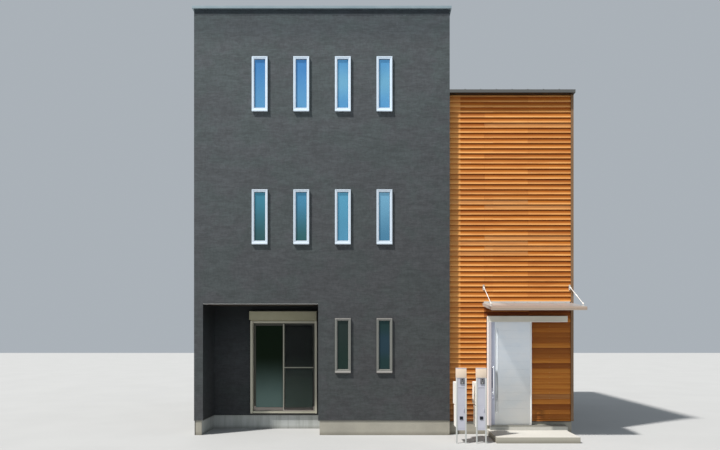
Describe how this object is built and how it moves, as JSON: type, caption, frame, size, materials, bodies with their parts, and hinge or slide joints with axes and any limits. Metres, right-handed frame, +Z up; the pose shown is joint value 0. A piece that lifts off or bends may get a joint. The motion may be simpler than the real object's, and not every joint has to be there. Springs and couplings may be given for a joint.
{
  "type": "two-generation house",
  "caption": "Flat-roofed house: a dark rendered block with slit windows and a recess, and a lower timber-clad entrance block with a sliding door under a canopy.",
  "frame": {"origin": "on the ground, under the middle of the whole house with its letter-box units", "axes": "+Z up; -Y is the front with the entrance door; +X is to the right seen from the front"},
  "size_m": [8.425, 8.51, 9.425],
  "materials": {
    "dark_render": "fine trowelled acrylic render, matt",
    "concrete": "fair-faced concrete, light form marks",
    "floor_board": "plain board over joists",
    "roof_membrane": "sheet membrane",
    "coping_metal": "pale grey coated sheet",
    "roof_sheet": "dark blue-grey coated sheet",
    "soffit_board": "painted board",
    "window_aluminium": "silver anodised",
    "window_glass": "patterned insulating glass",
    "patio_aluminium": "champagne grey coating",
    "patio_glass": "frosted insulating glass",
    "cedar": "oiled cedar boards",
    "door_aluminium": "cool silver coating, satin",
    "door_slit_glass": "frosted glass",
    "brushed_metal": "satin stainless steel",
    "canopy_aluminium": "satin silver coating",
    "unit_metal": "pale silver coating",
    "lamp_cover": "cream opal cover",
    "dark_plastic": "dark face"
  },
  "bodies": {
    "house": {"front_wall_upper": "dark_render", "front_wall_lower": "dark_render", "left_wall": "dark_render", "side_wall_upper": "dark_render", "back_wall": "dark_render", "recess_wall_left": "dark_render", "recess_wall_over": "dark_render", "recess_side_wall": "dark_render", "entrance_wall_left": "dark_render", "entrance_wall_over": "dark_render", "entrance_wall_right": "dark_render", "entrance_side_wall": "dark_render", "entrance_back_wall": "dark_render", "main_foundation": "concrete", "entrance_foundation": "concrete", "hall_floor": "concrete", "entrance_step": "concrete", "ground_floor": "floor_board", "second_floor": "floor_board", "third_floor": "floor_board", "main_roof": "roof_membrane", "entrance_roof": "roof_membrane", "main_coping": "coping_metal", "entrance_eave": "roof_sheet", "corner_trim": "roof_sheet", "recess_soffit": "soffit_board", "front_window_frames": "window_aluminium", "back_window_frames": "window_aluminium", "front_window_glass": "window_glass", "back_window_glass": "window_glass", "patio_frame": "patio_aluminium", "shutter_box": "patio_aluminium", "wood_cladding": "cedar", "door_rail_box": "door_aluminium", "door_jamb": "door_aluminium", "canopy_tie_rods": "brushed_metal", "canopy_brackets": "brushed_metal", "canopy_panel": "canopy_aluminium", "post_frames": "unit_metal", "post_boxes": "unit_metal", "post_lamps": "lamp_cover", "post_intercoms": "dark_plastic"},
    "entrance_door": {"door_leaf": "door_aluminium", "door_glass": "door_slit_glass", "door_handle": "brushed_metal", "door_hangers": "brushed_metal"},
    "patio_left": {"patio_sash_left": "patio_aluminium", "patio_glass_left": "patio_glass"},
    "patio_right": {"patio_sash_right": "patio_aluminium", "patio_glass_right": "patio_glass"},
    "screen": {"insect_screen": "patio_aluminium"}
  },
  "joints": [
    {"name": "entrance_door_slide", "type": "slide", "parent": "house", "child": "entrance_door", "axis": [1, 0, 0], "range_m": [0, 0.755]},
    {"name": "patio_left_slide", "type": "slide", "parent": "house", "child": "patio_left", "axis": [1, 0, 0], "range_m": [0, 0.691]},
    {"name": "patio_right_slide", "type": "slide", "parent": "house", "child": "patio_right", "axis": [-1, 0, 0], "range_m": [0, 0.691]},
    {"name": "screen_slide", "type": "slide", "parent": "house", "child": "screen", "axis": [-1, 0, 0], "range_m": [0, 0.691]}
  ]
}
